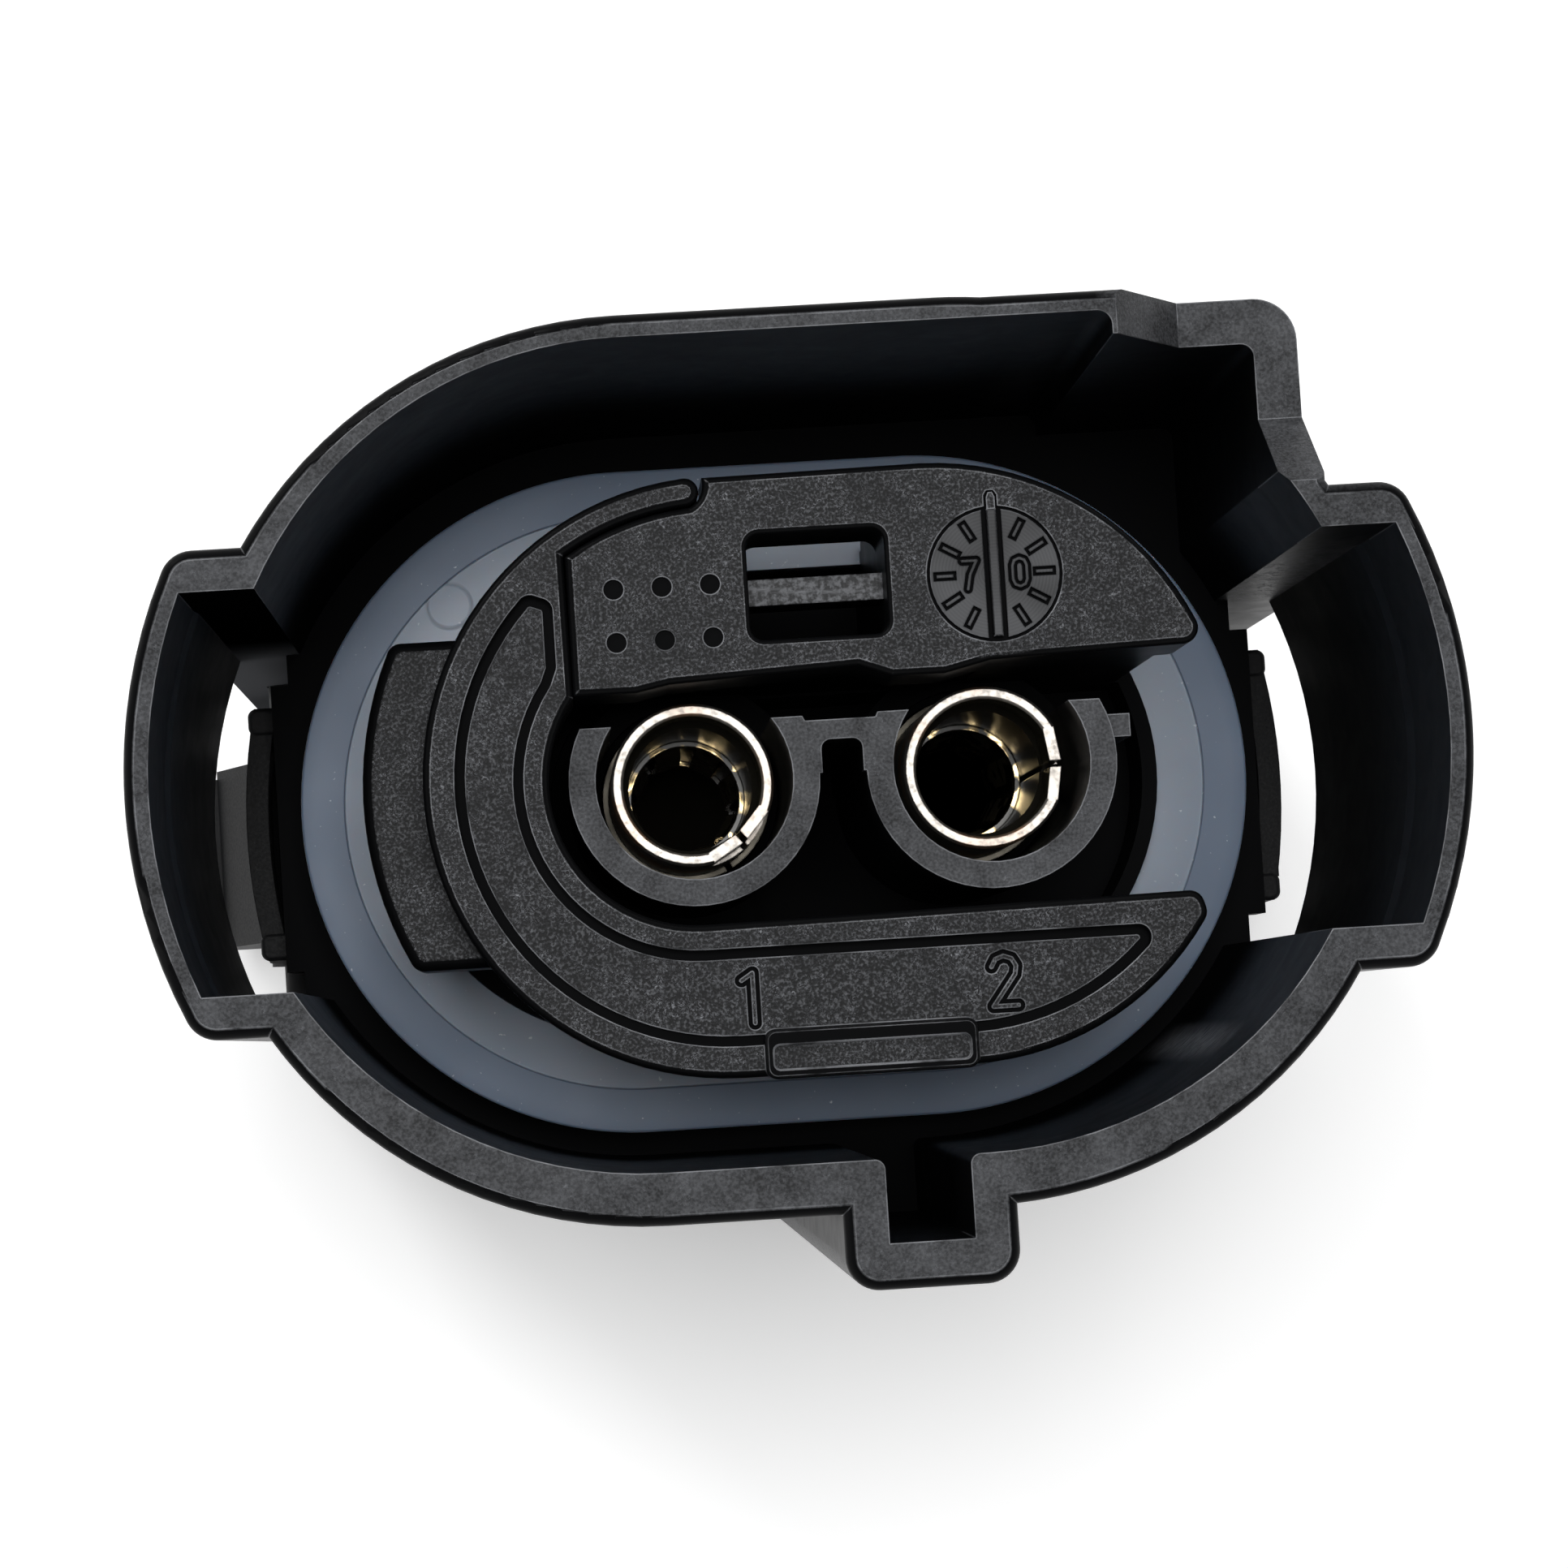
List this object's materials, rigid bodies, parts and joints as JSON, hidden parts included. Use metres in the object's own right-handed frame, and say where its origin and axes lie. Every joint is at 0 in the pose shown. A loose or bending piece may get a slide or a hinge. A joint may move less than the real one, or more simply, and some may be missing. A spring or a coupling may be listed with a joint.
{
  "type": "automotive wire connector",
  "caption": "Sealed oval wire connector with two round sockets, blue-grey perimeter seal, sliding terminal lock and side squeeze latches.",
  "frame": {"origin": "on the connector's axis, at the flat rear face of the cap, level with the shroud's rear rim", "axes": "+Z along the mating direction out of the mouth, +X towards the side with the lowered coding corner, key channel at -Y"},
  "size_m": [0.041, 0.0296, 0.042],
  "materials": {
    "housing_plastic": "fine moulded grain, glass filled",
    "insert_plastic": "speckled glass-filled grain",
    "seal_silicone": "satin blue-grey silicone",
    "lever_plastic": "smooth satin",
    "cap_plastic": "fine moulded grain",
    "plated_copper": "silver plated, copper at the cut edges",
    "spring_steel": "rolled spring steel",
    "cage_alloy": "plated contact spring, warm and dark in its bore",
    "wire_seal_rubber": "ribbed silicone"
  },
  "bodies": {
    "housing": {"connector_housing": "housing_plastic", "seal_retainer": "insert_plastic", "perimeter_seal": "seal_silicone", "rear_cap": "cap_plastic", "socket_barrel_1": "plated_copper", "contact_sleeve_1": "spring_steel", "spring_cage_1": "cage_alloy", "wire_seal_1": "wire_seal_rubber", "socket_barrel_2": "plated_copper", "contact_sleeve_2": "spring_steel", "spring_cage_2": "cage_alloy", "wire_seal_2": "wire_seal_rubber"},
    "terminal_lock": {"terminal_lock": "insert_plastic"},
    "latch_left": {"latch_lever_left": "lever_plastic"},
    "latch_right": {"latch_lever_right": "lever_plastic"}
  },
  "joints": [
    {"name": "terminal_lock_slide", "type": "slide", "parent": "housing", "child": "terminal_lock", "axis": [-1, 0, 0], "range_m": [0, 0.0018]},
    {"name": "latch_right_squeeze", "type": "hinge", "parent": "housing", "child": "latch_right", "pos_m": [0.01695, 0, 0.013], "axis": [0, 1, 0], "range_deg": [0, 6], "stiffness_Nm_per_rad": 0.3},
    {"name": "latch_left_squeeze", "type": "hinge", "parent": "housing", "child": "latch_left", "pos_m": [-0.01695, 0, 0.013], "axis": [0, -1, 0], "range_deg": [0, 6], "stiffness_Nm_per_rad": 0.3}
  ]
}
